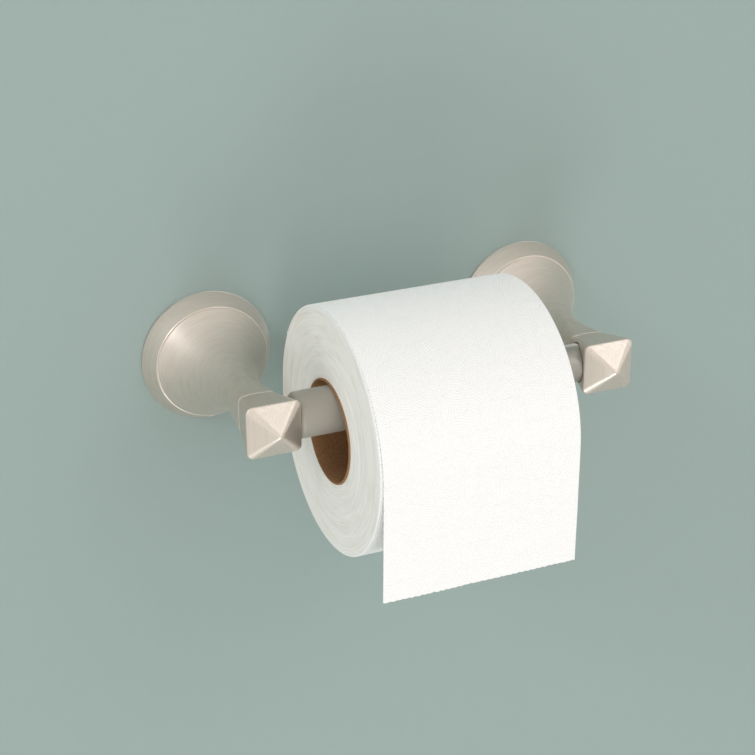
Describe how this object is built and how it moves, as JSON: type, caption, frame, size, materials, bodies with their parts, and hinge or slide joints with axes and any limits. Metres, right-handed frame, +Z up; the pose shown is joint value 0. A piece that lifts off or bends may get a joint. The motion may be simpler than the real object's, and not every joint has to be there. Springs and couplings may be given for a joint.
{
  "type": "toilet paper holder",
  "caption": "Wall-mounted toilet paper holder: posts with round flanges and faceted square heads, a sprung telescoping roller and a loaded paper roll with a hanging sheet.",
  "frame": {"origin": "on the wall's surface, half way between the posts and level with their centres; it is the middle of the four wall screws", "axes": "+Z up, +X along the roller from the wide half to the sliding half, -Y out of the wall towards the user"},
  "size_m": [0.23, 0.1613, 0.1152],
  "materials": {
    "satin_nickel": "satin brushed nickel plate on a zinc casting",
    "zinc_casting": "bare zinc die casting",
    "dark_steel": "black oxide",
    "plated_steel": "zinc plated",
    "black_nylon": "moulded, matte",
    "grey_plastic": "satin grey metallic paint",
    "satin_grey_plastic": "semi-gloss grey metallic paint",
    "spring_steel": "bare spring wire",
    "kraft_board": "uncoated brown kraft",
    "tissue": "soft embossed tissue"
  },
  "bodies": {
    "posts": {"left_post": "satin_nickel", "right_post": "satin_nickel", "left_flange": "satin_nickel", "right_flange": "satin_nickel", "left_bracket": "zinc_casting", "right_bracket": "zinc_casting", "left_set_screw": "dark_steel", "right_set_screw": "dark_steel", "left_wall_screws": "plated_steel", "right_wall_screws": "plated_steel", "left_socket_liner": "black_nylon", "right_socket_liner": "black_nylon"},
    "roller_outer": {"roller_sleeve": "grey_plastic", "roller_spring": "spring_steel"},
    "roller_inner": {"roller_plunger": "satin_grey_plastic"},
    "roll": {"roll_core": "kraft_board", "paper_roll": "tissue"},
    "sheet": {"hanging_sheet": "tissue"}
  },
  "joints": [
    {"name": "roll_spin", "type": "hinge", "parent": "posts", "child": "roll", "pos_m": [-0.0055, -0.0773, -0.01215], "axis": [1, 0, 0], "continuous": true},
    {"name": "roller_spin", "type": "hinge", "parent": "posts", "child": "roller_outer", "pos_m": [0, -0.0795, 0], "axis": [1, 0, 0], "continuous": true},
    {"name": "plunger_slide", "type": "slide", "parent": "roller_outer", "child": "roller_inner", "axis": [-1, 0, 0], "range_m": [0, 0.0095], "stiffness_N_per_m": 450, "springref_m": -0.008, "deforming": ["roller_spring"]},
    {"name": "sheet_swing", "type": "hinge", "parent": "posts", "child": "sheet", "pos_m": [-0.004, -0.13505, -0.01215], "axis": [-1, 0, 0], "range_deg": [0, 60]}
  ],
  "couplings": [
    {"joint": "roller_spin", "follows": "roll_spin", "ratio": 2.1878}
  ]
}
